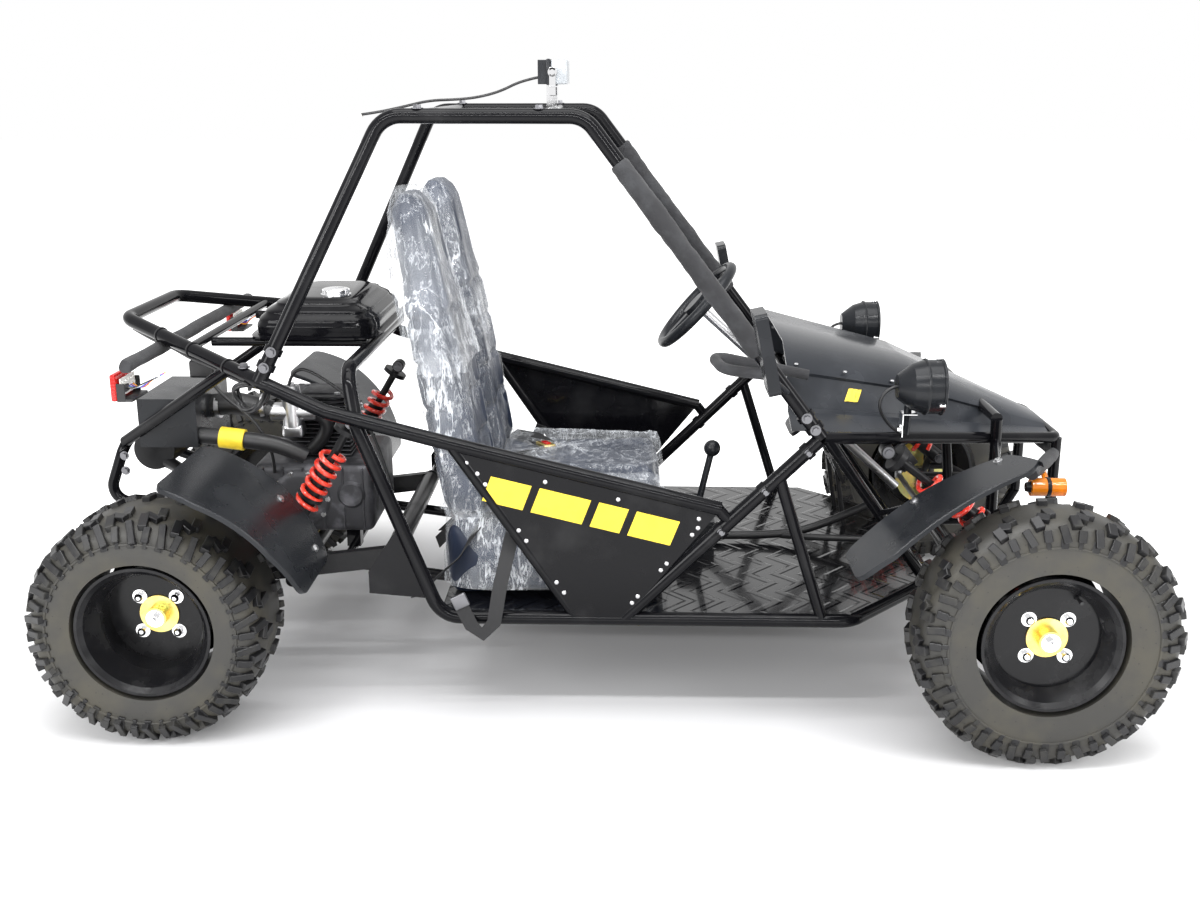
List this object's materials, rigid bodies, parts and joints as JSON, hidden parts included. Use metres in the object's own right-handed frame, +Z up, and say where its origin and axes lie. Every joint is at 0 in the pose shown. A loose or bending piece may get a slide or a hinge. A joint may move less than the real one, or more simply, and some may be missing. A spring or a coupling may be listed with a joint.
{
  "type": "off-road buggy with two seats",
  "caption": "Two-seat off-road buggy: tube frame and cage, open engine, live rear axle, steered front wheels.",
  "frame": {"origin": "on the ground under the middle of the vehicle's box", "axes": "+X forward, +Y to the left, +Z up"},
  "size_m": [2.3194, 1.378, 1.3705],
  "materials": {
    "frame_paint": "gloss black paint",
    "tyre_rubber": "new off-road tyre",
    "rim_black": "satin black",
    "gold_zinc": "yellow zinc plated steel",
    "bare_steel": "machined steel",
    "chassis_black": "satin black",
    "spring_red": "red powder coat",
    "engine_alloy": "black painted casting",
    "black_plastic": "satin moulded plastic",
    "hood_plastic": "satin charcoal",
    "tank_paint": "gloss black paint",
    "chrome_trim": "polished",
    "seat_vinyl": "dark vinyl",
    "clear_lens": "clear lens",
    "red_lens": "red lens",
    "amber_lens": "amber lens",
    "foam": "matte foam",
    "cable_black": "black jacket",
    "white_plastic": "white connector"
  },
  "bodies": {
    "frame": {"frame_lower": "frame_paint", "frame_sides": "frame_paint", "rear_rack": "frame_paint", "cage_hoops": "frame_paint", "cage_cross_tubes": "frame_paint", "frame_front": "frame_paint", "engine_cradle": "frame_paint", "front_arms": "chassis_black", "swing_arm": "chassis_black", "shocks": "chassis_black", "springs": "spring_red", "engine": "engine_alloy", "muffler": "chassis_black", "air_box": "black_plastic", "fuel_tank": "tank_paint", "tank_cap": "chrome_trim", "side_panels": "tank_paint", "seat_backs": "seat_vinyl", "seat_cushions": "seat_vinyl", "fenders": "black_plastic", "floor_pan": "frame_paint", "hood": "hood_plastic", "headlamps": "black_plastic", "headlamp_lenses": "clear_lens", "tail_lamps": "red_lens", "turn_signals": "amber_lens", "mirrors": "black_plastic", "foam_pads": "foam", "grab_bar": "foam", "roof_lamp": "black_plastic", "roof_lamp_bracket": "chrome_trim", "roof_cable": "cable_black", "cable_plug": "white_plastic", "gear_lever": "black_plastic", "pedals": "chassis_black"},
    "rear_axle_set": {"rear_axle": "bare_steel", "tyres_rear": "tyre_rubber", "rims_rear": "rim_black", "hubs_rear": "gold_zinc"},
    "steering": {"steering_wheel": "black_plastic", "steering_column": "bare_steel"},
    "steering_rack": {"tie_rods": "bare_steel"},
    "steer_right": {"knuckle_right": "chassis_black"},
    "wheel_right": {"tyre_front_right": "tyre_rubber", "rim_front_right": "rim_black", "hub_front_right": "gold_zinc"},
    "steer_left": {"knuckle_left": "chassis_black"},
    "wheel_left": {"tyre_front_left": "tyre_rubber", "rim_front_left": "rim_black", "hub_front_left": "gold_zinc"}
  },
  "joints": [
    {"name": "rear_axle_spin", "type": "hinge", "parent": "frame", "child": "rear_axle_set", "pos_m": [-0.91175, 0, 0.248], "axis": [0, 1, 0], "continuous": true},
    {"name": "steering_turn", "type": "hinge", "parent": "frame", "child": "steering", "pos_m": [0.23623, 0.21988, 0.78751], "axis": [-0.7431, 0, 0.6691], "range_deg": [-120, 120]},
    {"name": "rack_slide", "type": "slide", "parent": "frame", "child": "steering_rack", "axis": [0, 1, 0], "range_m": [-0.03465, 0.03465]},
    {"name": "steer_right_turn", "type": "hinge", "parent": "frame", "child": "steer_right", "pos_m": [0.89325, -0.452, 0.2665], "axis": [0, 0, 1], "range_deg": [-25, 25]},
    {"name": "wheel_right_spin", "type": "hinge", "parent": "steer_right", "child": "wheel_right", "pos_m": [0.89325, -0.6, 0.2665], "axis": [0, 1, 0], "continuous": true},
    {"name": "steer_left_turn", "type": "hinge", "parent": "frame", "child": "steer_left", "pos_m": [0.89325, 0.452, 0.2665], "axis": [0, 0, 1], "range_deg": [-25, 25]},
    {"name": "wheel_left_spin", "type": "hinge", "parent": "steer_left", "child": "wheel_left", "pos_m": [0.89325, 0.6, 0.2665], "axis": [0, 1, 0], "continuous": true}
  ],
  "couplings": [
    {"joint": "steer_right_turn", "follows": "steering_turn", "ratio": 0.20833},
    {"joint": "steer_left_turn", "follows": "steering_turn", "ratio": 0.20833},
    {"joint": "rack_slide", "follows": "steering_turn", "m_per_rad": -0.016546}
  ]
}
